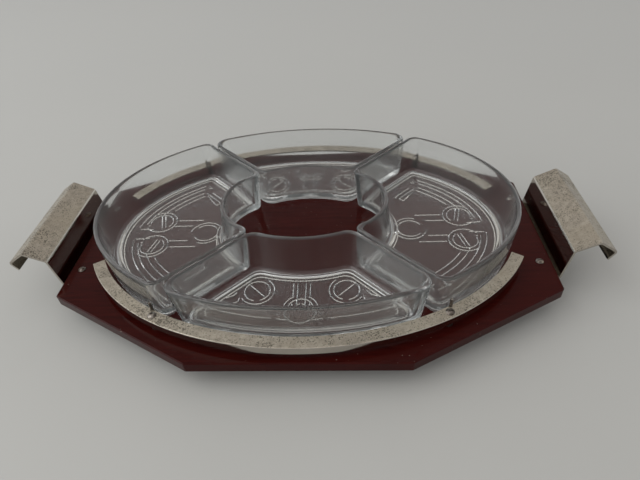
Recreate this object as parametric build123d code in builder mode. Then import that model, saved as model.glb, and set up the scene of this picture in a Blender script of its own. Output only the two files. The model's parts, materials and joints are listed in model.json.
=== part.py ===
"""Oval turntable tray with four lift-out glass dishes on a low ball-bearing swivel.

Millimetres. The origin is on the table, under the pivot. +Z is up, X runs along the tray's
length through both handles, and -Y is the front.
"""
from build123d import *
import os
from math import cos, radians, sin, sqrt

os.makedirs("parts", exist_ok=True)

# Swivel and base
foot_height = 2.0
foot_radius = 8.0
foot_circle = 60.0
base_thickness = 7.0
base_radius = 75.0
base_edge = 2.0
race_thickness = 1.5
race_radius = 42.0
ball_radius = 2.5
ball_count = 16
ball_circle = 32.0
ball_clearance = 0.1
bearing_height = 6.5
cage_thickness = 1.0
cage_half_width = 5.0
rivet_radius = 6.0
rivet_bore = 4.5
rivet_head_radius = 9.0
rivet_head_thickness = 1.0
rivet_clearance = 0.08
pocket_radius = 10.0
base_pocket_depth = 1.5
board_pocket_depth = 2.0
race_screw_circle = 20.0
race_screw_radius = 1.5
race_screw_head_radius = 2.8
race_screw_head_height = 0.9
race_screw_length = 6.0
access_hole_radius = 5.0

# Board
board_thickness = 9.0
board_half_length = 187.0
board_half_width = 128.0
long_edge_half = 74.0
end_edge_half = 67.0
board_corner = 3.0
board_ease = 0.8

# Handles
sheet = 1.5
handle_half_width = 48.0
handle_bend = 2.2
handle_tail = 20.0
bolt_x = 178.0
bolt_y = 38.5
bolt_radius = 2.0
bolt_head_radius = 2.9
bolt_head_height = 1.8
nut_width = 7.0
nut_height = 2.6

# Gallery bands
band_half_length = 174.0
band_half_width = 125.0
band_top = 11.6
band_flange = 9.2
band_sheet = 1.2
band_skirt = 6.0
band_end_x = 162.5
band_end_y = 44.8
band_end_angle = 32.0
band_edge = 0.7
post_angle = 44.0
post_circle = 139.3
post_radius = 3.0
screw_radius = 1.5
screw_head_radius = 3.0
screw_head_height = 1.7
screw_bite = 6.0
peg_circle = 136.6
peg_angle = 42.0
peg_radius = 1.1
peg_height = 7.0

# Glass dishes
rim_half_length = 165.0
rim_half_width = 114.0
dish_height = 36.5
dish_lift = 0.2
dish_wall = 3.4
dish_floor = 5.0
dish_lean = 2.6
side_lean = 1.6
heel = 3.0
corner_radius = 9.0
end_nose_radius = 5.0
side_nose_radius = 11.0
side_gap = 0.7
end_well_centre, end_well_radius = 26.0, 37.0
side_well_centre, side_well_radius = -38.7, 84.7
far = 260.0

# Levels above the table
base_bottom = foot_height
base_top = base_bottom + base_thickness
board_bottom = base_top + bearing_height
board_top = board_bottom + board_thickness
ball_height = base_top + bearing_height / 2
flange_top = board_top + band_top
flange_bottom = flange_top - band_sheet
UP = (0, 0, 1)


def finish(piece, name):
    """Label a finished piece and write its STEP file."""
    piece.part.label = name
    export_step(piece.part, f"parts/{name}.step")


def polar(radius, angle):
    return (radius * cos(radians(angle)), radius * sin(radians(angle)))


def screw(head_radius, head_height, shank_radius, shank_length, slot=0.8):
    """Round-head slotted screw, pointing down, with the underside of its head at the origin."""
    rim_height = 0.2 * head_height
    with BuildPart() as part:
        with BuildSketch(Plane.XZ):
            with BuildLine():
                Polyline(
                    (0, head_height),
                    (0, -shank_length),
                    (shank_radius, -shank_length),
                    (shank_radius, 0),
                    (head_radius, 0),
                    (head_radius, rim_height),
                )
                TangentArc((0, head_height), (head_radius, rim_height), tangent=(1, 0))
            make_face()
        revolve(axis=Axis.Z)
        with BuildSketch(Plane.XY.offset(head_height)):
            Rectangle(2 * head_radius, slot)
        extrude(amount=-0.4 * head_height, mode=Mode.SUBTRACT)
    return part.part


def screw_group(name, shape, places, height, flip=False):
    """Several equal screws as one node, standing at the given places."""
    turn = 180 if flip else 0
    with BuildPart() as group:
        with Locations(*[Location((x, y, height), (turn, 0, 0)) for x, y in places]):
            add(shape)
    finish(group, name)


# ---- Base: feet, disc and the lower half of the swivel -----------------------------------

with BuildPart() as rubber_feet:
    with BuildSketch():
        with PolarLocations(foot_circle, 4, 45):
            Circle(foot_radius)
    extrude(amount=foot_height)
finish(rubber_feet, "rubber_feet")

lower_places = [polar(race_screw_circle, 90 * i) for i in range(4)]
upper_places = [polar(race_screw_circle, 90 * i + 45) for i in range(4)]
access_place = polar(race_screw_circle, 45)

with BuildPart() as base_disc:
    with BuildSketch(Plane.XY.offset(base_bottom)):
        Circle(base_radius)
    extrude(amount=base_thickness)
    fillet(base_disc.faces().sort_by(Axis.Z)[-1].edges(), radius=base_edge)
    with BuildSketch(Plane.XY.offset(base_top)):
        Circle(pocket_radius)
    extrude(amount=-base_pocket_depth, mode=Mode.SUBTRACT)
    with BuildSketch(Plane.XY.offset(base_top)):
        with Locations(*lower_places):
            Circle(race_screw_radius)
    extrude(amount=race_thickness - race_screw_length, mode=Mode.SUBTRACT)
    with BuildSketch(Plane.XY.offset(base_top)):
        with Locations(access_place):
            Circle(access_hole_radius)
    extrude(amount=-base_thickness, mode=Mode.SUBTRACT)
finish(base_disc, "base_disc")


def race(bottom, bore, screw_places, access=None):
    """One swivel plate with its ball groove, bore and screw holes."""
    with BuildPart() as plate:
        with BuildSketch(Plane.XY.offset(bottom)):
            Circle(race_radius)
            Circle(bore, mode=Mode.SUBTRACT)
            with Locations(*screw_places):
                Circle(race_screw_radius, mode=Mode.SUBTRACT)
            if access:
                with Locations(access):
                    Circle(access_hole_radius, mode=Mode.SUBTRACT)
        extrude(amount=race_thickness)
        with Locations((0, 0, ball_height)):
            Torus(ball_circle, ball_radius + ball_clearance, mode=Mode.SUBTRACT)
    return plate


lower_race = race(base_top, rivet_radius, lower_places, access_place)
finish(lower_race, "lower_race")
upper_race = race(board_bottom - race_thickness, rivet_radius + rivet_clearance, upper_places)
finish(upper_race, "upper_race")

race_screw = screw(race_screw_head_radius, race_screw_head_height, race_screw_radius, race_screw_length)
screw_group("lower_race_screws", race_screw, lower_places, base_top + race_thickness)
screw_group("upper_race_screws", race_screw, upper_places, board_bottom - race_thickness, flip=True)

with BuildPart() as pivot_rivet:
    with BuildSketch(Plane.XY.offset(base_top - rivet_head_thickness)):
        Circle(rivet_head_radius)
    extrude(amount=rivet_head_thickness)
    with BuildSketch(Plane.XY.offset(base_top)):
        Circle(rivet_radius)
    extrude(amount=bearing_height + rivet_clearance)
    with BuildSketch(Plane.XY.offset(board_bottom + rivet_clearance)):
        Circle(rivet_head_radius)
    extrude(amount=rivet_head_thickness)
    with BuildSketch(Plane.XY.offset(base_top - rivet_head_thickness)):
        Circle(rivet_bore)
    extrude(amount=bearing_height + 3 * rivet_head_thickness, mode=Mode.SUBTRACT)
finish(pivot_rivet, "pivot_rivet")

with BuildPart() as ball_cage:
    with BuildSketch(Plane.XY.offset(ball_height - cage_thickness / 2)):
        Circle(ball_circle + cage_half_width)
        Circle(ball_circle - cage_half_width, mode=Mode.SUBTRACT)
        with PolarLocations(ball_circle, ball_count):
            Circle(ball_radius + ball_clearance, mode=Mode.SUBTRACT)
    extrude(amount=cage_thickness)
finish(ball_cage, "ball_cage")

with BuildPart() as bearing_balls:
    with Locations((0, 0, ball_height)):
        with PolarLocations(ball_circle, ball_count):
            Sphere(ball_radius)
finish(bearing_balls, "bearing_balls")


# ---- Board -------------------------------------------------------------------------------

board_corners = [
    (board_half_length, -end_edge_half),
    (board_half_length, end_edge_half),
    (long_edge_half, board_half_width),
    (-long_edge_half, board_half_width),
    (-board_half_length, end_edge_half),
    (-board_half_length, -end_edge_half),
    (-long_edge_half, -board_half_width),
    (long_edge_half, -board_half_width),
]
right_bolts = [(bolt_x, -bolt_y), (bolt_x, bolt_y)]
left_bolts = [(-bolt_x, -bolt_y), (-bolt_x, bolt_y)]
front_posts = [polar(post_circle, angle) for angle in (180 + post_angle, 360 - post_angle)]
back_posts = [polar(post_circle, angle) for angle in (post_angle, 180 - post_angle)]
front_pegs = [polar(peg_circle, angle) for angle in (180 + peg_angle, 360 - peg_angle)]
back_pegs = [polar(peg_circle, angle) for angle in (peg_angle, 180 - peg_angle)]

with BuildPart() as wooden_board:
    with BuildSketch(Plane.XY.offset(board_bottom)) as board_plan:
        Polygon(*board_corners, align=None)
        fillet(board_plan.vertices(), radius=board_corner)
    extrude(amount=board_thickness)
    chamfer(wooden_board.faces().filter_by(Axis.Z).edges(), length=board_ease)
    with BuildSketch(Plane.XY.offset(board_bottom)):
        Circle(pocket_radius)
    extrude(amount=board_pocket_depth, mode=Mode.SUBTRACT)
    with BuildSketch(Plane.XY.offset(board_bottom)):
        with Locations(*upper_places):
            Circle(race_screw_radius)
    extrude(amount=race_screw_length - race_thickness, mode=Mode.SUBTRACT)
    with BuildSketch(Plane.XY.offset(board_top)):
        with Locations(*right_bolts, *left_bolts):
            Circle(bolt_radius)
    extrude(amount=-board_thickness, mode=Mode.SUBTRACT)
    with BuildSketch(Plane.XY.offset(board_top)):
        with Locations(*front_posts, *back_posts):
            Circle(screw_radius)
    extrude(amount=-screw_bite, mode=Mode.SUBTRACT)
finish(wooden_board, "wooden_board")


# ---- Handles -----------------------------------------------------------------------------

tail_height = board_bottom - sheet / 2
handle_path = [
    (board_half_length - handle_tail, tail_height),
    (board_half_length + 4.6, tail_height),
    (board_half_length + 8.7, board_top + 17.4),
    (board_half_length + 24.8, board_top + 25.4),
    (board_half_length + 38.0, board_top + 16.9),
    (board_half_length + 33.6, board_top + 9.8),
]


def handle(side, bolts):
    """Bent-sheet handle; side is +1 at the right end of the board and -1 at the left."""
    with BuildPart() as strap:
        with BuildSketch(Plane.XZ):
            with BuildLine():
                FilletPolyline(*[(side * x, z) for x, z in handle_path], radius=handle_bend)
            trace(line_width=sheet)
        extrude(amount=handle_half_width, both=True)
        with BuildSketch(Plane.XY.offset(board_bottom)):
            with Locations(*bolts):
                Circle(bolt_radius)
        extrude(amount=-sheet, mode=Mode.SUBTRACT)
    return strap


bolt_length = board_thickness + sheet + nut_height + 1.0
handle_bolt = screw(bolt_head_radius, bolt_head_height, bolt_radius, bolt_length)


def nuts(bolts):
    """Hexagon nuts on the bolts, against the underside of the handle's tail."""
    with BuildPart() as group:
        with BuildSketch(Plane.XY.offset(board_bottom - sheet)):
            with Locations(*bolts):
                RegularPolygon(nut_width / 2, 6, major_radius=False)
                Circle(bolt_radius, mode=Mode.SUBTRACT)
        extrude(amount=-nut_height)
    return group


for side_name, side, bolts in (("left", -1, left_bolts), ("right", 1, right_bolts)):
    finish(handle(side, bolts), f"{side_name}_handle")
    screw_group(f"{side_name}_handle_bolts", handle_bolt, bolts, board_top)
    finish(nuts(bolts), f"{side_name}_handle_nuts")


# ---- Gallery bands -----------------------------------------------------------------------

def band_region(side, plane):
    """Plan area that one band keeps; its slanted ends cut the oval square across."""
    cut = Vector(cos(radians(band_end_angle)), sin(radians(band_end_angle)))
    end = Vector(band_end_x, band_end_y)
    inner = end - cut * 20
    outer = end + cut * 30
    right = [(inner.X, inner.Y), (outer.X, outer.Y), (outer.X, far)]
    left = [(-x, y) for x, y in reversed(right)]
    with BuildSketch(plane, mode=Mode.PRIVATE) as region:
        Polygon(*[(x, side * y) for x, y in right + left], align=None)
    return region.sketch


def oval_ring(side, height, width):
    """Part of the oval ring, of the given width, on the side of one band."""
    plane = Plane.XY.offset(height)
    with BuildSketch(plane, mode=Mode.PRIVATE) as ring:
        Ellipse(band_half_length, band_half_width)
        Ellipse(band_half_length - width, band_half_width - width, mode=Mode.SUBTRACT)
    return ring.sketch & band_region(side, plane)


def gallery_band(side, posts, pegs):
    """Flat flange with a skirt down its outer edge; side is -1 for the front band."""
    flange = oval_ring(side, flange_bottom, band_flange)
    skirt = oval_ring(side, flange_top - band_skirt, band_sheet)
    with BuildPart() as band:
        extrude(flange, amount=band_sheet)
        extrude(skirt, amount=band_skirt)
        rim_edges = band.faces().sort_by(Axis.Z)[-1].edges().sort_by(SortBy.LENGTH)[-1]
        fillet(rim_edges, radius=band_edge)
        with BuildSketch(Plane.XY.offset(flange_top)):
            with Locations(*posts):
                Circle(screw_radius)
            with Locations(*pegs):
                Circle(peg_radius)
        extrude(amount=-band_sheet, mode=Mode.SUBTRACT)
    return band


def spacer_posts(posts):
    """Tubular posts between the board and the flange."""
    with BuildPart() as group:
        with BuildSketch(Plane.XY.offset(board_top)):
            with Locations(*posts):
                Circle(post_radius)
                Circle(screw_radius, mode=Mode.SUBTRACT)
        extrude(amount=flange_bottom - board_top)
    return group


def dish_pegs(pegs):
    """Round-topped pegs riveted into the flange, one at each joint between two dishes."""
    with BuildPart() as group:
        with BuildSketch(Plane.XY.offset(flange_bottom)):
            with Locations(*pegs):
                Circle(peg_radius)
        extrude(amount=band_sheet + peg_height)
        fillet(group.faces().filter_by(Axis.Z).group_by(Axis.Z)[-1].edges(), radius=0.6)
    return group


gallery_screw = screw(screw_head_radius, screw_head_height, screw_radius, band_top + screw_bite)

for side_name, side, posts, pegs in (
    ("front", -1, front_posts, front_pegs),
    ("back", 1, back_posts, back_pegs),
):
    finish(gallery_band(side, posts, pegs), f"{side_name}_gallery_band")
    finish(spacer_posts(posts), f"{side_name}_gallery_posts")
    finish(dish_pegs(pegs), f"{side_name}_dish_pegs")
    screw_group(f"{side_name}_gallery_screws", gallery_screw, posts, flange_top)


# ---- Glass dishes ------------------------------------------------------------------------

def turns(outline):
    """Corners of a dish's outline off its own axis, the two noses by the well first."""
    return outline.vertices().filter_by(lambda vertex: abs(vertex.Y) > 1).sort_by(Axis.X)


def dish_outline(direction, half_axes, well, height, outer, side, tighten):
    """Plan outline of a dish: a sector of the oval between its two diagonals, less the well.

    outer is the inset from the oval, side the inset from the diagonals and from the well's arc.
    tighten is taken off both corner radii: the wide one at the oval and the one at the noses.
    """
    reach, breadth = half_axes
    well_centre, well_radius, nose_radius = well
    start = (side + side_gap) * sqrt(2)
    with BuildSketch(Plane((0, 0, height), x_dir=direction, z_dir=UP)) as outline:
        Ellipse(reach - outer, breadth - outer)
        Polygon((start, 0), (far, far - start), (far, start - far), align=None, mode=Mode.INTERSECT)
        with Locations((well_centre, 0)):
            Circle(well_radius + side, mode=Mode.SUBTRACT)
        fillet(turns(outline)[:2], radius=nose_radius - tighten)
        fillet(turns(outline)[-2:], radius=corner_radius - tighten)
    return outline.sketch


def glass_dish(direction, half_axes, well):
    """Open dish with leaning walls, a flat floor and an eased heel."""
    bottom = board_top + dish_lift
    rim = bottom + dish_height
    floor = bottom + dish_floor
    inner = dish_wall

    def section(height, outer, side, tighten):
        return dish_outline(direction, half_axes, well, height, outer, side, tighten)

    shell = [
        section(bottom, dish_lean + heel, side_lean + heel, heel),
        section(bottom + heel, dish_lean, side_lean, 0),
        section(rim, 0, 0, 0),
    ]
    cavity = [
        section(floor, dish_lean + inner + heel, side_lean + inner + heel, heel),
        section(floor + heel, 0.85 * dish_lean + inner, 0.85 * side_lean + inner, 2),
        section(rim, inner, inner, 2),
    ]
    with BuildPart() as dish:
        loft(shell, ruled=True)
        loft(cavity, ruled=True, mode=Mode.SUBTRACT)
    return dish


end_well = (end_well_centre, end_well_radius, end_nose_radius)
side_well = (side_well_centre, side_well_radius, side_nose_radius)
end_shape = ((rim_half_length, rim_half_width), end_well)
side_shape = ((rim_half_width, rim_half_length), side_well)

for side_name, direction, shape in (
    ("right", (1, 0, 0), end_shape),
    ("left", (-1, 0, 0), end_shape),
    ("front", (0, -1, 0), side_shape),
    ("back", (0, 1, 0), side_shape),
):
    finish(glass_dish(direction, *shape), f"{side_name}_glass_dish")
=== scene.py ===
"""Oval turntable tray with four moulded glass dishes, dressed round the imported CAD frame.

Metres, in the frame's own axes: +Z up, X along the tray through both handles, -Y the front.
"""
import json
from math import atan2, cos, hypot, pi, radians, sin, sqrt, tan

import bmesh
import bpy
import numpy as np
from mathutils import Matrix, Vector
from mathutils.geometry import delaunay_2d_cdt

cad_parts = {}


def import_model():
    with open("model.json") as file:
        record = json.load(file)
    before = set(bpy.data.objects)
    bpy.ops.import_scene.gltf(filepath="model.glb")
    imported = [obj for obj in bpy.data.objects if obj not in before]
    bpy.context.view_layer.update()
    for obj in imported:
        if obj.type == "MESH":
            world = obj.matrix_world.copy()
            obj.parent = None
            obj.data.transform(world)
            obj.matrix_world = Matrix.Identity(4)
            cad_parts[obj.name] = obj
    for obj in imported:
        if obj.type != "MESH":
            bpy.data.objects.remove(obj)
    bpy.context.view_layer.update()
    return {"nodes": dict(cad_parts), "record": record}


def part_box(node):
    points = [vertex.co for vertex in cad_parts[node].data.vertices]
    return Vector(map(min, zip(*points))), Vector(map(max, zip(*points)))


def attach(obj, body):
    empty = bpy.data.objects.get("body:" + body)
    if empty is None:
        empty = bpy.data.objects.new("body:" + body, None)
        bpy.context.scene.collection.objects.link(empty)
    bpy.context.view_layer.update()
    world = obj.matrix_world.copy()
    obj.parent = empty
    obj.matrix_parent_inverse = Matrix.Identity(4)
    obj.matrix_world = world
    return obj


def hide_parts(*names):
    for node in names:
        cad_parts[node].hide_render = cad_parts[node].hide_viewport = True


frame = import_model()

MM = 0.001
SCENE = bpy.context.scene

# ---- Sizes, in millimetres ---------------------------------------------------------------

# A dish's glass: the wall and the floor, how far the outer and the other walls lean in from rim
# to foot, how much thicker they are at the foot, and the power that bends their slope.
WALL = 3.2
FLOOR = 5.0
LEAN = 2.6
SIDE_LEAN = 1.6
WALL_SWELL = 0.9
LEAN_CURVE = 1.15

# The height of the foot ring that it stands on, the inset of the ring's inner edge and the width
# of that edge's round, the rounds outside and inside the foot of the walls, the bead round the
# floor, and how much tighter the corner rounds are there.
FOOT_RING = 1.2
FOOT_EDGE = 6.0
FOOT_ROUND = 1.4
HEEL = 2.6
FILLET = 3.2
BEAD = 1.1
FLOOR_TIGHTEN = 4.4

# Its plan: half the gap between two dishes, and the round at its wide corners. Each well is the
# centre of its arc on the dish's axis, the arc's radius, and the round of the noses beside it.
SIDE_GAP = 0.7
CORNER = 9.0
END_WELL = (26.0, 37.0, 5.0)
SIDE_WELL = (-38.7, 84.7, 11.0)

# Steps along the plan's oval, its straight sides, the arc at its well and its corner rounds.
OVAL_STEPS = 60
SIDE_STEPS = 16
WELL_STEPS = 30
ROUND_STEPS = 10

# The lines under its floor. The matt strips in them: their thickness, and how far their tops are
# under the floor's flat underside. Each border strip has an inset from the foot of the walls and a
# half width.
LINE_HALF_WIDTH = 0.36
LINE_DEPTH = 0.5
STRIP = 0.25
STRIP_DROP = 0.05
BORDERS = ((7.5, 0.7), (10.6, 0.4))


# ---- Meshes -------------------------------------------------------------------------------

def mesh_object(name, points, faces, smooth=True):
    """A linked mesh object from points in millimetres."""
    mesh = bpy.data.meshes.new(name)
    mesh.from_pydata([(x * MM, y * MM, z * MM) for x, y, z in points], [], faces)
    mesh.validate()
    if smooth:
        mesh.shade_smooth()
    made = bpy.data.objects.new(name, mesh)
    SCENE.collection.objects.link(made)
    return made


def skin(rings):
    """Quads between rings of equal length, with a face over the last ring."""
    count = len(rings[0])
    points = [p for ring in rings for p in ring]
    faces = []
    for level in range(len(rings) - 1):
        low, high = level * count, (level + 1) * count
        for i in range(count):
            j = (i + 1) % count
            faces.append((low + i, low + j, high + j, high + i))
    faces.append(tuple(range(len(points) - count, len(points))))
    return points, faces


# ---- Plan outline of a dish ---------------------------------------------------------------

def rounded(before, corner, after, radius):
    """Replaces the corner between two polylines by a round of about the given radius.

    before ends at the corner and after starts there; both come back trimmed.
    """
    def direction(points):
        dx, dy = points[1][0] - points[0][0], points[1][1] - points[0][1]
        return dx / hypot(dx, dy), dy / hypot(dx, dy)

    back = direction(before[::-1])
    ahead = direction(after)
    across = back[0] * ahead[1] - back[1] * ahead[0]
    along_both = back[0] * ahead[0] + back[1] * ahead[1]
    half = 0.5 * abs(atan2(across, along_both))
    cut = radius / tan(half)
    before = trimmed(before[::-1], cut)[::-1]
    after = trimmed(after, cut)
    start, end = before[-1], after[0]
    weight = sin(half)
    arc = []
    for i in range(1, ROUND_STEPS):
        t = i / ROUND_STEPS
        a, b, c = (1 - t) ** 2, 2 * t * (1 - t) * weight, t * t
        total = a + b + c
        arc.append(tuple((a * start[k] + b * corner[k] + c * end[k]) / total for k in (0, 1)))
    return before, arc, after


def trimmed(points, length):
    """The polyline without its first stretch, with the same number of points."""
    distances = [0.0]
    for p, q in zip(points, points[1:]):
        distances.append(distances[-1] + hypot(q[0] - p[0], q[1] - p[1]))
    span = distances[-1] - length
    count = len(points)
    return [along(points, distances, length + span * i / (count - 1)) for i in range(count)]


def along(points, distances, where):
    """The point at a distance along a polyline."""
    for i in range(len(points) - 1):
        if where <= distances[i + 1] or i == len(points) - 2:
            share = (where - distances[i]) / (distances[i + 1] - distances[i])
            return tuple(points[i][k] + share * (points[i + 1][k] - points[i][k]) for k in (0, 1))


def corner_and_nose(a, b, centre, radius, shift):
    """Where the diagonal y = x - shift meets the oval, and where it meets the well's arc."""
    qa, qb, qc = 1 / a**2 + 1 / b**2, -2 * shift / b**2, shift**2 / b**2 - 1
    corner_x = (-qb + sqrt(qb * qb - 4 * qa * qc)) / (2 * qa)
    qb, qc = -2 * (shift + centre), shift**2 + centre**2 - radius**2
    nose_x = (-qb + sqrt(qb * qb - 8 * qc)) / 4
    return (corner_x, corner_x - shift), (nose_x, nose_x - shift)


def outline(reach, breadth, well, outer, side, tighten):
    """Closed plan outline in the dish's own axes: x runs from the well to the outer wall.

    outer and side are the insets at the outer wall and at the others, and tighten is how much
    smaller the corner rounds are.
    """
    a, b = reach - outer, breadth - outer
    centre, radius, nose_round = well[0], well[1] + side, well[2]
    corner, nose = corner_and_nose(a, b, centre, radius, (side + SIDE_GAP) * sqrt(2))
    corner_angle = atan2(corner[1] / b, corner[0] / a)
    turns = [corner_angle * i / OVAL_STEPS for i in range(OVAL_STEPS + 1)]
    oval = [(a * cos(turn), b * sin(turn)) for turn in turns]
    shares = [i / SIDE_STEPS for i in range(SIDE_STEPS + 1)]
    diagonal = [tuple(corner[k] + (nose[k] - corner[k]) * share for k in (0, 1)) for share in shares]
    nose_angle = atan2(nose[1], nose[0] - centre)
    turns = [nose_angle * (1 - i / WELL_STEPS) for i in range(WELL_STEPS + 1)]
    arc = [(centre + radius * cos(turn), radius * sin(turn)) for turn in turns]
    oval, corner_round, diagonal = rounded(oval, corner, diagonal, CORNER - tighten)
    diagonal, nose_turn, arc = rounded(diagonal, nose, arc, nose_round - 0.5 * tighten)
    half = oval + corner_round + diagonal + nose_turn + arc
    other_half = [(x, -y) for x, y in reversed(half[1:-1])]
    return half + other_half


# ---- Materials ----------------------------------------------------------------------------

class Shader:
    """A material with one Principled shader and short calls to wire nodes into it."""

    def __init__(self, name, **values):
        self.material = bpy.data.materials.new(name)
        self.material.use_nodes = True
        self.tree = self.material.node_tree
        self.principled = self.tree.nodes["Principled BSDF"]
        self.surface = self.principled.outputs["BSDF"]
        self.where = self.tree.nodes.new("ShaderNodeTexCoord").outputs["Object"]
        for key, value in values.items():
            self.principled.inputs[key.replace("_", " ")].default_value = value

    def node(self, kind, links=None, **values):
        """A node with its properties set, and each of its sockets linked or given a value."""
        made = self.tree.nodes.new(kind)
        for key, value in values.items():
            setattr(made, key, value)
        for key, value in (links or {}).items():
            socket = made.inputs[key]
            if isinstance(value, bpy.types.NodeSocket):
                self.tree.links.new(value, socket)
            else:
                socket.default_value = value
        return made

    def stretched(self, scale):
        """Object coordinates, scaled differently along each axis."""
        return self.node("ShaderNodeMapping", {"Vector": self.where, "Scale": scale}).outputs["Vector"]

    def turned(self, angle, scale):
        """Object coordinates turned about the upright axis and then scaled."""
        turn = {"Vector": self.where, "Rotation": (0.0, 0.0, angle)}
        turned = self.node("ShaderNodeMapping", turn).outputs["Vector"]
        return self.node("ShaderNodeMapping", {"Vector": turned, "Scale": scale}).outputs["Vector"]

    def noise(self, scale, detail=4.0, roughness=0.55, vector=None, distortion=0.0):
        """Noise of the given fineness, over object coordinates unless vector says otherwise."""
        links = {
            "Vector": vector or self.where,
            "Scale": scale,
            "Detail": detail,
            "Roughness": roughness,
            "Distortion": distortion,
        }
        return self.node("ShaderNodeTexNoise", links).outputs["Fac"]

    def ramp(self, factor, *stops):
        """Colour ramp through (position, colour) stops; a plain number is a grey."""
        made = self.node("ShaderNodeValToRGB", {"Fac": factor})
        elements = made.color_ramp.elements
        while len(elements) < len(stops):
            elements.new(0.5)
        for element, (position, colour) in zip(elements, stops):
            element.position = position
            grey = isinstance(colour, (int, float))
            element.color = (colour,) * 3 + (1,) if grey else (*colour, 1)
        return made.outputs["Color"]

    def mix(self, factor, first, second, blend="MIX"):
        """Two colours mixed; each input is a link, a colour or a plain number."""
        made = self.node("ShaderNodeMix", data_type="RGBA", blend_type=blend)
        sockets = (made.inputs[0], made.inputs[6], made.inputs[7])
        for socket, value in zip(sockets, (factor, first, second)):
            if isinstance(value, bpy.types.NodeSocket):
                self.tree.links.new(value, socket)
            elif isinstance(value, (int, float)) and socket.type == "RGBA":
                socket.default_value = (value,) * 3 + (1,)
            elif socket.type == "RGBA":
                socket.default_value = (*value, 1)
            else:
                socket.default_value = value
        return made.outputs[2]

    def bump(self, height, strength, distance):
        """A normal that follows the height, with distance in metres."""
        links = {"Height": height, "Strength": strength, "Distance": distance}
        return self.node("ShaderNodeBump", links).outputs["Normal"]

    def softened(self, share, roughness, colour):
        """A share of the glass scatters a little, as worn glass does."""
        inputs = {"Color": (*colour, 1), "Roughness": roughness, "IOR": 1.5}
        soft = self.node("ShaderNodeBsdfGlass", inputs).outputs["BSDF"]
        links = {0: share, 1: self.surface, 2: soft}
        self.surface = self.node("ShaderNodeMixShader", links).outputs["Shader"]

    def lets_lamps_through(self, colour):
        """Shadow and diffuse rays pass straight through, tinted, instead of being bent."""
        clear = self.node("ShaderNodeBsdfTransparent", {"Color": (*colour, 1)}).outputs["BSDF"]
        path = self.node("ShaderNodeLightPath").outputs
        for ray in ("Is Diffuse Ray", "Is Shadow Ray"):
            links = {0: path[ray], 1: self.surface, 2: clear}
            self.surface = self.node("ShaderNodeMixShader", links).outputs["Shader"]
        self.tree.links.new(self.surface, self.tree.nodes["Material Output"].inputs["Surface"])
        return self.material

    def wire(self, **sockets):
        """Links the Principled shader's sockets, and returns the material."""
        for key, value in sockets.items():
            self.tree.links.new(value, self.principled.inputs[key.replace("_", " ")])
        return self.material


def lacquered_wood():
    """Dark red-brown lacquer over close grain, glossy, dulled in patches, scratched and dusty."""
    s = Shader("lacquered_wood", Specular_IOR_Level=0.08)
    grain = s.noise(9.0, 8.0, 0.6, s.stretched((3.0, 42.0, 20.0)), 0.6)
    pores = s.noise(60.0, 3.0, 0.6, s.stretched((1.0, 9.0, 6.0)))
    cloud = s.noise(7.0, 3.0)
    dark, middle, light = (0.020, 0.0026, 0.0020), (0.030, 0.0036, 0.0027), (0.042, 0.0052, 0.0036)
    wood = s.ramp(grain, (0.3, dark), (0.55, middle), (0.78, light))
    colour = s.mix(s.ramp(pores, (0.30, 0.5), (0.42, 0.0)), wood, (0.006, 0.0015, 0.0015))
    colour = s.mix(s.ramp(cloud, (0.35, 0.0), (0.75, 0.5)), colour, (0.040, 0.0048, 0.0040))
    scuffs = s.noise(11.0, 3.0, 0.5, s.turned(0.5, (1.2, 38.0, 1.0)), 0.2)
    scuffs = s.ramp(scuffs, (0.745, 0.0), (0.765, 0.8))
    dust = s.ramp(s.noise(650.0, 1.0, 0.3), (0.79, 0.0), (0.82, 0.8))
    colour = s.mix(scuffs, colour, (0.16, 0.075, 0.055))
    colour = s.mix(dust, colour, (0.30, 0.26, 0.22))
    dull = s.noise(16.0, 6.0, 0.7)
    rough = s.mix(scuffs, s.ramp(dull, (0.35, 0.07), (0.7, 0.20)), 0.5)
    return s.wire(Base_Color=colour, Roughness=rough, Normal=s.bump(grain, 0.06, 0.0003))


def base_wood():
    """The swivel's disc: stained wood, satin."""
    s = Shader("base_wood", Coat_Weight=0.15, Coat_Roughness=0.3)
    grain = s.noise(12.0, 7.0, 0.6, s.stretched((4.0, 50.0, 30.0)), 0.5)
    colour = s.ramp(grain, (0.3, (0.035, 0.010, 0.006)), (0.7, (0.11, 0.035, 0.018)))
    rough = s.ramp(grain, (0.3, 0.42), (0.7, 0.58))
    return s.wire(Base_Color=colour, Roughness=rough, Normal=s.bump(grain, 0.2, 0.0004))


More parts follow.
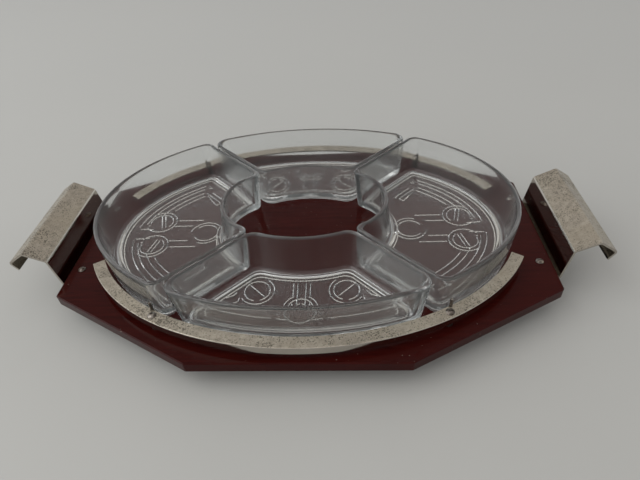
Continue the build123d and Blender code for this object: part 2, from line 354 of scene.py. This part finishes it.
def nickel_plate():
    """Old nickel plate: a bright mirror where it's upright, hazed and pitted where it's flat."""
    s = Shader("nickel_plate")
    haze = s.noise(38.0, 6.0, 0.7)
    stain = s.noise(14.0, 5.0, 0.7, distortion=0.4)
    pepper = s.noise(1150.0, 2.0, 0.5)
    clump = s.noise(34.0, 3.0, 0.6)
    normal = s.node("ShaderNodeNewGeometry").outputs["Normal"]
    upward = s.node("ShaderNodeSeparateXYZ", {"Vector": normal}).outputs["Z"]
    worn = s.ramp(upward, (0.62, 0.0), (0.80, 1.0))
    threshold = s.ramp(clump, (0.42, 0.0), (0.68, 0.13))
    grains = s.mix(1.0, pepper, threshold, "SUBTRACT")
    pits = s.mix(1.0, s.ramp(grains, (0.33, 1.0), (0.39, 0.0)), worn, "MULTIPLY")
    patch = s.mix(1.0, s.ramp(stain, (0.50, 0.0), (0.66, 0.6)), worn, "MULTIPLY")
    bright = s.ramp(haze, (0.3, (0.42, 0.385, 0.34)), (0.7, (0.52, 0.48, 0.42)))
    mottle = s.noise(210.0, 6.0, 0.8)
    dulled = s.ramp(mottle, (0.34, (0.245, 0.218, 0.178)), (0.66, (0.43, 0.388, 0.32)))
    colour = s.mix(worn, bright, dulled)
    colour = s.mix(patch, colour, (0.36, 0.32, 0.25))
    colour = s.mix(s.mix(0.8, 0.0, pits), colour, (0.09, 0.08, 0.06))
    polished = s.ramp(haze, (0.3, 0.07), (0.7, 0.13))
    matt = s.ramp(haze, (0.3, 0.34), (0.7, 0.50))
    rough = s.mix(pits, s.mix(worn, polished, matt), 0.8)
    metal = s.mix(worn, 1.0, s.ramp(haze, (0.3, 0.75), (0.7, 0.5)))
    relief = s.bump(s.mix(1.0, haze, pits, "SUBTRACT"), 0.10, 0.0003)
    return s.wire(Base_Color=colour, Roughness=rough, Metallic=metal, Normal=relief)


def tarnished_nickel():
    """The small fittings: nickel gone brown-grey, with a worn bright crown here and there."""
    s = Shader("tarnished_nickel", Metallic=1.0)
    haze = s.noise(260.0, 4.0, 0.6)
    brown, grey, bright = (0.06, 0.048, 0.04), (0.15, 0.13, 0.115), (0.36, 0.335, 0.30)
    colour = s.ramp(haze, (0.35, brown), (0.5, grey), (0.68, bright))
    rough = s.ramp(haze, (0.3, 0.55), (0.7, 0.26))
    return s.wire(Base_Color=colour, Roughness=rough, Normal=s.bump(haze, 0.2, 0.0002))


def swivel_steel():
    """Plain zinc-grey steel, unevenly dull."""
    s = Shader("swivel_steel", Metallic=1.0)
    haze = s.noise(60.0, 5.0, 0.6)
    colour = s.ramp(haze, (0.3, (0.38, 0.37, 0.35)), (0.7, (0.56, 0.55, 0.53)))
    rough = s.ramp(haze, (0.3, 0.28), (0.7, 0.45))
    return s.wire(Base_Color=colour, Roughness=rough, Normal=s.bump(haze, 0.1, 0.0002))


def rubber():
    """Black rubber with a fine grit."""
    s = Shader("rubber")
    grit = s.noise(700.0, 3.0)
    colour = s.ramp(grit, (0.3, 0.014), (0.7, 0.035))
    rough = s.ramp(grit, (0.3, 0.7), (0.7, 0.9))
    return s.wire(Base_Color=colour, Roughness=rough, Normal=s.bump(grit, 0.3, 0.0002))


def clear_glass():
    """Pressed glass: clear, very slightly blue-green, faintly uneven from the mould."""
    s = Shader("clear_glass", IOR=1.5, Transmission_Weight=1.0, Roughness=0.0)
    wave = s.noise(26.0, 2.0, 0.4)
    colour = s.ramp(wave, (0.3, (0.970, 0.988, 0.990)), (0.7, (0.988, 0.996, 0.996)))
    s.wire(Base_Color=colour, Normal=s.bump(wave, 0.02, 0.0005))
    # With less haze than this, the walls come out grainy at 24 samples.
    haze_share, haze_roughness = 0.255, 0.276
    s.softened(haze_share, haze_roughness, (0.975, 0.99, 0.99))
    return s.lets_lamps_through((0.93, 0.95, 0.95))


def frosted_line():
    """The matt edges of the moulded lines, whitish, catching light from all round."""
    s = Shader("frosted_line")
    grain = s.noise(900.0, 2.0)
    colour = s.ramp(grain, (0.3, (0.42, 0.37, 0.34)), (0.7, (0.72, 0.67, 0.62)))
    rough = s.ramp(grain, (0.3, 0.35), (0.7, 0.6))
    return s.wire(Base_Color=colour, Roughness=rough)


MATERIALS = {
    "lacquered_wood": lacquered_wood(),
    "base_wood": base_wood(),
    "nickel_plate": nickel_plate(),
    "swivel_steel": swivel_steel(),
    "rubber": rubber(),
    "clear_glass": clear_glass(),
}
FROSTED_LINE = frosted_line()

FITTINGS = tarnished_nickel()
FITTING_WORDS = ("screws", "bolts", "pegs", "posts")

for part in frame["record"]["subparts"]:
    node = frame["nodes"][part["node"]]
    material = MATERIALS[part["material_slot"]]
    if part["material_slot"] == "nickel_plate" and part["node"].endswith(FITTING_WORDS):
        material = FITTINGS
    node.data.materials.clear()
    node.data.materials.append(material)


# ---- Lines moulded under the dishes' floors -----------------------------------------------

def ring(x, y, radius, start=0.0, end=360.0):
    """Part of a circle, between two angles in degrees, in steps of about 8 degrees."""
    count = max(6, int(abs(end - start) / 8))
    angles = [radians(start + (end - start) * i / count) for i in range(count + 1)]
    return [(x + radius * cos(t), y + radius * sin(t)) for t in angles]


def oval_line(half_axes, inset, start, end):
    """Part of the oval, moved inwards, between two of its own angles in degrees."""
    a, b = half_axes[0] - inset, half_axes[1] - inset
    count = max(8, int(abs(end - start) / 2))
    angles = [radians(start + (end - start) * i / count) for i in range(count + 1)]
    return [(a * cos(t), b * sin(t)) for t in angles]


def mirrored(lines):
    """The lines, with a copy on the other side of the dish's own axis."""
    return lines + [[(x, -y) for x, y in line] for line in lines]


def chord(x, y, radius, angle, offset=0.0):
    """A straight line across a circle, at an angle in degrees, moved sideways by offset."""
    t = radians(angle)
    reach = sqrt(radius**2 - offset**2)
    middle = (x - offset * sin(t), y + offset * cos(t))
    return [(middle[0] + k * reach * cos(t), middle[1] + k * reach * sin(t)) for k in (-1, 1)]


def end_lines(half_axes):
    """Rings, bars and border lines under a dish at the end of the oval."""
    near, far_x, far_y = 85.0, 127.0, 15.5
    lines = [ring(near, 0, 13.2, 60, 360), ring(near, 0, 10.0, 20, 330)]
    arcs = ((19.5, 4, 48), (24.0, 7, 46), (30.0, 17, 44), (35.0, 21, 43))
    borders = [oval_line(half_axes, inset, start, end) for inset, start, end in arcs]
    outer, second, third, inner = (line[-1] for line in borders)
    half = borders + [
        ring(far_x, far_y, 13.0, 40, 330),
        ring(far_x, far_y, 9.6, -20, 230),
        chord(far_x, far_y, 9.4, 75),
        chord(far_x, far_y, 9.4, 75, 3.0),
        [(near + 4, 17.0), (far_x - 13, 17.0)],
        [(near + 12, 9.5), (far_x - 11, 9.5)],
        [borders[0][0], (borders[0][0][0] - 15, borders[0][0][1] - 1.0)],
        [borders[1][0], (borders[1][0][0] - 6, borders[1][0][1])],
        [outer, stepped(outer, -7), second],
        [third, stepped(third, -24), bent(third, -24, 5), inner],
        [stepped(second, -9), stepped(second, -30), bent(second, -30, 4)],
    ]
    return lines + mirrored(half)


def stepped(point, length):
    """A point further along the diagonal."""
    return point[0] + length * sqrt(0.5), point[1] + length * sqrt(0.5)


def bent(point, length, turn):
    """A point along the diagonal and then square off it, to the dish's inside."""
    x, y = stepped(point, length)
    return x + turn * sqrt(0.5), y - turn * sqrt(0.5)


def side_lines(half_axes):
    """Rings, bars and border lines under a dish at the front or the back."""
    near_x, near_y, boss = 67.5, 32.5, 85.0
    lines = [ring(boss, 0, 12.4, -162, 162), ring(boss, 0, 9.2, 90, 270)]
    half = [
        ring(near_x, near_y, 12.6, -150, 60),
        ring(near_x, near_y, 9.4, 0, 352),
        chord(near_x, near_y, 9.2, -45),
        [(59.5, 3.0), (boss + 1, 3.0)],
        [(59.5, 6.2), (boss - 11, 6.2)],
        [(boss - 6, 6.2), (boss + 2, 6.2)],
        ring(boss, 0, 4.6, 90, 180),
        oval_line(half_axes, 19.5, 7, 27.5),
        oval_line(half_axes, 26, 8, 25.5),
    ]
    outer, inner = half[-2:]
    half.append([outer[-1], inner[-1]])
    half.append([outer[0], (boss + 10.2, 7.1)])
    half.append([inner[0], (boss + 5.0, 11.3)])
    step_x, step_y = near_x + 5.2, near_y + 12.0
    half.append([(step_x, step_y), (step_x + 5, step_y + 1), (step_x + 8, step_y + 9)])
    half.append([(step_x - 5, step_y + 2.0), (step_x - 1, step_y + 5), (step_x + 2, step_y + 12)])
    return lines + mirrored(half)


def side_rails(line, width):
    """The two lines beside a polyline, closing to a point at both of its ends."""
    count = len(line)
    left, right = [line[0]], [line[0]]
    for i in range(1, count - 1):
        dx, dy = line[i + 1][0] - line[i - 1][0], line[i + 1][1] - line[i - 1][1]
        across = (-dy * width / hypot(dx, dy), dx * width / hypot(dx, dy))
        left.append((line[i][0] + across[0], line[i][1] + across[1]))
        right.append((line[i][0] - across[0], line[i][1] - across[1]))
    return left + [line[-1]], right + [line[-1]]


def toward(end, other):
    """A point just inside a line's end, so that the line rises from nothing there."""
    length = hypot(other[0] - end[0], other[1] - end[1])
    return tuple(end[k] + (other[k] - end[k]) * LINE_HALF_WIDTH / length for k in (0, 1))


def finer(line, step=1.6):
    """The polyline with points close enough together for its rails."""
    points = [line[0]]
    for p, q in zip(line, line[1:]):
        parts = max(1, int(hypot(q[0] - p[0], q[1] - p[1]) / step))
        points += [tuple(p[k] + (q[k] - p[k]) * i / parts for k in (0, 1)) for i in range(1, parts + 1)]
    return points


def distance_to(points, lines):
    """Distance in plan from each point to the nearest of the lines."""
    starts = np.array([p for line in lines for p in line[:-1]])
    ends = np.array([p for line in lines for p in line[1:]])
    span = ends - starts
    away = points[:, None, :] - starts[None, :, :]
    share = np.clip((away * span).sum(2) / (span**2).sum(1), 0, 1)
    return np.sqrt(((away - share[:, :, None] * span) ** 2).sum(2)).min(1)


def lined_cap(loop, lines, level):
    """The flat underside inside a closed loop, with the lines pressed up into it."""
    ridges = [[toward(line[0], line[1]), *line[1:-1], toward(line[-1], line[-2])] for line in lines]
    points, edges = list(loop), []
    for line in lines:
        for rail in (line, *side_rails(line, LINE_HALF_WIDTH)):
            edges += [(len(points) + i, len(points) + i + 1) for i in range(len(rail) - 1)]
            points += rail
    border = list(range(len(loop)))
    inside_only, tolerance = 1, 1e-4
    found = delaunay_2d_cdt([Vector(p) for p in points], edges, [border], inside_only, tolerance)
    flat = np.array([tuple(v) for v in found[0]])
    rise = np.clip(1 - distance_to(flat, ridges) / LINE_HALF_WIDTH, 0, 1) * LINE_DEPTH
    return [(x, y, level + up) for (x, y), up in zip(flat, rise)], [tuple(face) for face in found[2]]


def strip(line, half_width, top, start):
    """A closed flat bar along a line, short of its two ends; faces count its points from start."""
    left, right = side_rails(line, half_width)
    points, faces = [], []
    for p, q in list(zip(left, right))[1:-1]:
        points += [(*p, top), (*q, top), (*q, top - STRIP), (*p, top - STRIP)]
        now = start + len(points) - 4
        last = now - 4
        if last >= start:
            faces += [(last + k, last + (k + 1) % 4, now + (k + 1) % 4, now + k) for k in range(4)]
    faces.append((start + 3, start + 2, start + 1, start))
    faces.append((now, now + 1, now + 2, now + 3))
    return points, faces


# ---- Moulded glass dishes -----------------------------------------------------------------

def turns(count, whole, first=1):
    """Angles at count equal steps of a whole turn, starting with the given step."""
    return [step / count * whole for step in range(first, count + 1)]


def leaning(height, inset, tighten, lean=1.0):
    """One station of the walls' section, with the given share of their lean in its insets.

    It is the height above the underside, the inset at the outer wall, the inset at the other
    walls, and how much tighter the corner rounds are there.
    """
    return height, lean * LEAN + inset, lean * SIDE_LEAN + inset, tighten


def foot_and_heel():
    """From the edge of the lined underside over the foot ring and round the heel."""
    stations = [leaning(FOOT_RING, FOOT_EDGE + 0.6, 4.0), leaning(FOOT_RING, FOOT_EDGE, 4.0)]
    for turn in turns(5, pi / 2):
        stations.append(leaning(FOOT_RING * cos(turn), FOOT_EDGE - FOOT_ROUND * sin(turn), 3.6))
    stations.append(leaning(0.0, HEEL, 2.4))
    for turn in turns(5, pi / 2):
        still_to_go = 1 - sin(turn)
        stations.append(leaning(HEEL * (1 - cos(turn)), HEEL * still_to_go, 2.0 * still_to_go))
    return stations


def outside_and_rim(height):
    """Up the outside of the wall and over its round rim."""
    rim = WALL / 2
    stations = []
    for step in range(1, 9):
        share = step / 9
        rise = HEEL + (height - rim - HEEL) * share
        stations.append(leaning(rise, 0.0, 0.0, (1 - share) ** LEAN_CURVE))
    for turn in turns(10, pi, first=0):
        inset = rim * (1 - cos(turn))
        stations.append(leaning(height - rim + rim * sin(turn), inset, 0.9 * turn / pi, 0.0))
    return stations


def inside_and_floor(height):
    """Down the inside of the wall, round the fillet and over the bead to the floor."""
    rim = WALL / 2
    stations = []
    for step in range(1, 9):
        share = step / 9
        sink = height - rim + (FLOOR + FILLET - height + rim) * share
        outer = WALL + (LEAN + WALL_SWELL) * share**LEAN_CURVE
        side = WALL + (SIDE_LEAN + WALL_SWELL) * share
        stations.append((sink, outer, side, 0.9 + share))
    foot = WALL + WALL_SWELL
    for turn in turns(6, pi / 2, first=0):
        inwards = FILLET * (1 - cos(turn))
        level = FLOOR + FILLET * (1 - sin(turn))
        stations.append(leaning(level, foot + inwards, 2.0 + 0.6 * inwards))
    for turn in turns(8, pi):
        inset = foot + FILLET + BEAD * (1 - cos(turn))
        stations.append(leaning(FLOOR + 0.5 * BEAD * sin(turn), inset, FLOOR_TIGHTEN))
    stations.append(leaning(FLOOR, inset + 0.3, FLOOR_TIGHTEN))
    return stations


def placed(points, direction):
    """Turns points from a dish's own axes, whose x has the given direction, into the tray's."""
    dx, dy = direction
    return [(x * dx - y * dy, x * dy + y * dx, z) for x, y, z in points]


def dish(name, direction, half_axes, well, lines):
    """One moulded dish in place of its CAD node, with the matt strips in its underside."""
    low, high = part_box(name)
    bottom, height = low.z / MM, (high.z - low.z) / MM
    body_name = name.replace("_glass", "")
    lines = [finer(line) for line in lines]
    body = moulded_glass(name + "_moulded", direction, half_axes, well, (bottom, height), lines)
    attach(body, body_name)
    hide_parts(name)
    matt = [(line, LINE_HALF_WIDTH) for line in lines]
    for inset, half_width in BORDERS:
        border = outline(*half_axes, well, LEAN + inset, SIDE_LEAN + inset, FLOOR_TIGHTEN)
        matt.append((border + border[:3], half_width))
    strips = matt_strips(name + "_lines", direction, matt, bottom + FOOT_RING - STRIP_DROP)
    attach(strips, body_name)


def moulded_glass(name, direction, half_axes, well, upright, lines):
    """The glass itself: walls skinned over their section, closed by the lined underside."""
    bottom, height = upright
    section = foot_and_heel() + outside_and_rim(height) + inside_and_floor(height)
    rings = []
    for z, outer, side, tighten in section:
        plan = outline(*half_axes, well, outer, side, tighten)
        rings.append([(x, y, bottom + z) for x, y in plan])
    points, faces = skin(rings)
    inside_floor = len(faces) - 1
    under, triangles = lined_cap([(x, y) for x, y, z in rings[0]], lines, bottom + FOOT_RING)
    first = len(points)
    points += under
    faces += [tuple(first + i for i in reversed(face)) for face in triangles]
    made = mesh_object(name, placed(points, direction), faces)
    made.data.materials.append(MATERIALS["clear_glass"])
    for face in list(made.data.polygons)[inside_floor:]:
        face.use_smooth = False
    weld(made)
    return made


def matt_strips(name, direction, lines, top):
    """Strips along lines that each come with a half width, in one object."""
    points, faces = [], []
    for line, half_width in lines:
        more_points, more_faces = strip(line, half_width, top, len(points))
        points += more_points
        faces += more_faces
    made = mesh_object(name, placed(points, direction), faces, smooth=False)
    made.data.materials.append(FROSTED_LINE)
    return made


def weld(made):
    """Joins points that coincide, so that the skin is closed."""
    mesh = bmesh.new()
    mesh.from_mesh(made.data)
    bmesh.ops.remove_doubles(mesh, verts=mesh.verts, dist=0.005 * MM)
    bmesh.ops.recalc_face_normals(mesh, faces=mesh.faces)
    mesh.to_mesh(made.data)
    mesh.free()


HALF_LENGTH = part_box("right_glass_dish")[1].x / MM
HALF_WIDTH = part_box("back_glass_dish")[1].y / MM
END_OVAL = (HALF_LENGTH, HALF_WIDTH)
SIDE_OVAL = (HALF_WIDTH, HALF_LENGTH)
dish("right_glass_dish", (1, 0), END_OVAL, END_WELL, end_lines(END_OVAL))
dish("left_glass_dish", (-1, 0), END_OVAL, END_WELL, end_lines(END_OVAL))
dish("front_glass_dish", (0, -1), SIDE_OVAL, SIDE_WELL, side_lines(SIDE_OVAL))
dish("back_glass_dish", (0, 1), SIDE_OVAL, SIDE_WELL, side_lines(SIDE_OVAL))


# ---- Stage, light and camera --------------------------------------------------------------

def floor():
    """A wide pale floor, very slightly uneven."""
    s = Shader("pale_floor")
    speck = s.noise(3.0, 3.0)
    colour = s.ramp(speck, (0.2, (0.425, 0.432, 0.418)), (0.8, (0.455, 0.462, 0.448)))
    rough = s.ramp(speck, (0.3, 0.45), (0.7, 0.55))
    material = s.wire(Base_Color=colour, Roughness=rough)
    reach = 4000
    points = [(-reach, -reach, 0), (reach, -reach, 0), (reach, reach, 0), (-reach, reach, 0)]
    made = mesh_object("floor", points, [(0, 1, 2, 3)], smooth=False)
    made.data.materials.append(material)


def soft_light(name, place, power, colour, size=2.4):
    """A large square lamp turned to the origin; place and size are in metres."""
    data = bpy.data.lights.new(name, "AREA")
    data.size = size
    data.energy = power
    data.color = colour
    lamp = bpy.data.objects.new(name, data)
    SCENE.collection.objects.link(lamp)
    lamp.location = place
    lamp.rotation_euler = (-Vector(place)).to_track_quat("-Z", "Y").to_euler()


def world():
    """A pale room: cool bright walls round about, dimmer and warmer above them."""
    made = bpy.data.worlds.new("room")
    made.use_nodes = True
    tree = made.node_tree
    where = tree.nodes.new("ShaderNodeTexCoord")
    split = tree.nodes.new("ShaderNodeSeparateXYZ")
    ramp = tree.nodes.new("ShaderNodeValToRGB")
    tree.links.new(where.outputs["Generated"], split.inputs[0])
    tree.links.new(split.outputs["Z"], ramp.inputs[0])
    tree.links.new(ramp.outputs["Color"], tree.nodes["Background"].inputs["Color"])
    cool, warm = (0.94, 0.98, 1.0), (1.0, 0.94, 0.905)
    stops = ((0.30, 0.85, cool), (0.52, 0.60, warm), (0.80, 0.50, warm), (0.95, 0.50, warm))
    elements = ramp.color_ramp.elements
    while len(elements) < len(stops):
        elements.new(0.5)
    for element, (height, level, tint) in zip(elements, stops):
        element.position = height
        element.color = (*(level * share for share in tint), 1)
    SCENE.world = made


def camera():
    """The photo's view: from the front, a little to the right, looking down, slightly rolled."""
    azimuth, elevation, roll = radians(4.53), radians(40.82), radians(-4.17)
    distance, right_shift, up_shift = 0.4015, 0.0105, -0.0062
    target = Vector((0, 0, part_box("wooden_board")[1].z))
    forward = Vector((-sin(azimuth) * cos(elevation), cos(azimuth) * cos(elevation), -sin(elevation)))
    right = Vector((cos(azimuth), sin(azimuth), 0))
    up = right.cross(forward)
    place = target - forward * distance + right * right_shift + up * up_shift
    tilt = Matrix((right, up, -forward)).transposed()
    data = bpy.data.cameras.new("camera")
    data.sensor_width = 36.0
    data.lens = 27.0
    made = bpy.data.objects.new("camera", data)
    SCENE.collection.objects.link(made)
    spin = Matrix.Rotation(roll, 3, "Z")
    made.matrix_world = Matrix.Translation(place) @ (tilt @ spin).to_4x4()
    SCENE.camera = made


floor()
world()
soft_light("window", (-1.6, -0.5, 1.4), 28.0, (1.0, 1.0, 0.985))
soft_light("overhead", (0.2, -0.2, 2.0), 5.0, (1.0, 0.99, 0.97))
camera()
SCENE.view_settings.view_transform = "Standard"
